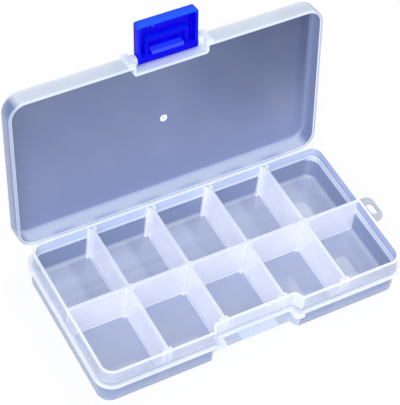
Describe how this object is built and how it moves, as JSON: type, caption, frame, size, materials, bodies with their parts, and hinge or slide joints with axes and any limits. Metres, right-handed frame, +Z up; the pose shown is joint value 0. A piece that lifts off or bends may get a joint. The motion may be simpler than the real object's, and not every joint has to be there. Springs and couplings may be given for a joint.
{
  "type": "compartment storage box",
  "caption": "Small clear plastic box for beads: tray with two rows of compartments and lift-out dividers, one hinged lid shown open, snap latch and hang tab.",
  "frame": {"origin": "middle of the tray's underside, the face the box stands on", "axes": "+X along the box towards the hang tab, +Y from the latch side to the hinge, +Z up. At rest the lid stands open 100 degrees from closed and the latch is turned 90 degrees out, in line with the lid"},
  "size_m": [0.137, 0.0917, 0.0928],
  "materials": {
    "clear_tray": "clear bluish plastic, smooth moulded surface",
    "clear_lid": "clear bluish plastic, smooth moulded surface",
    "clear_divider": "clear bluish plastic, smooth moulded surface",
    "blue_plastic": "deep blue plastic, smooth and fairly glossy"
  },
  "bodies": {
    "tray": {"tray": "clear_tray"},
    "lid": {"lid": "clear_lid"},
    "latch": {"latch": "blue_plastic"},
    "divider_back_1": {"divider_back_1": "clear_divider"},
    "divider_back_2": {"divider_back_2": "clear_divider"},
    "divider_back_3": {"divider_back_3": "clear_divider"},
    "divider_back_4": {"divider_back_4": "clear_divider"},
    "divider_front_1": {"divider_front_1": "clear_divider"},
    "divider_front_2": {"divider_front_2": "clear_divider"},
    "divider_front_3": {"divider_front_3": "clear_divider"},
    "divider_front_4": {"divider_front_4": "clear_divider"}
  },
  "joints": [
    {"name": "lid_hinge", "type": "hinge", "parent": "tray", "child": "lid", "pos_m": [0, 0.035, 0.0112], "axis": [-1, 0, 0], "range_deg": [-100, 0]},
    {"name": "latch_hinge", "type": "hinge", "parent": "lid", "child": "latch", "pos_m": [0, 0.05203, 0.07725], "axis": [-1, 0, 0], "range_deg": [-90, 0]},
    {"name": "divider_back_1_slide", "type": "slide", "parent": "tray", "child": "divider_back_1", "axis": [0, 0, 1], "range_m": [0, 0.018]},
    {"name": "divider_back_2_slide", "type": "slide", "parent": "tray", "child": "divider_back_2", "axis": [0, 0, 1], "range_m": [0, 0.018]},
    {"name": "divider_back_3_slide", "type": "slide", "parent": "tray", "child": "divider_back_3", "axis": [0, 0, 1], "range_m": [0, 0.018]},
    {"name": "divider_back_4_slide", "type": "slide", "parent": "tray", "child": "divider_back_4", "axis": [0, 0, 1], "range_m": [0, 0.018]},
    {"name": "divider_front_1_slide", "type": "slide", "parent": "tray", "child": "divider_front_1", "axis": [0, 0, 1], "range_m": [0, 0.018]},
    {"name": "divider_front_2_slide", "type": "slide", "parent": "tray", "child": "divider_front_2", "axis": [0, 0, 1], "range_m": [0, 0.018]},
    {"name": "divider_front_3_slide", "type": "slide", "parent": "tray", "child": "divider_front_3", "axis": [0, 0, 1], "range_m": [0, 0.018]},
    {"name": "divider_front_4_slide", "type": "slide", "parent": "tray", "child": "divider_front_4", "axis": [0, 0, 1], "range_m": [0, 0.018]}
  ]
}
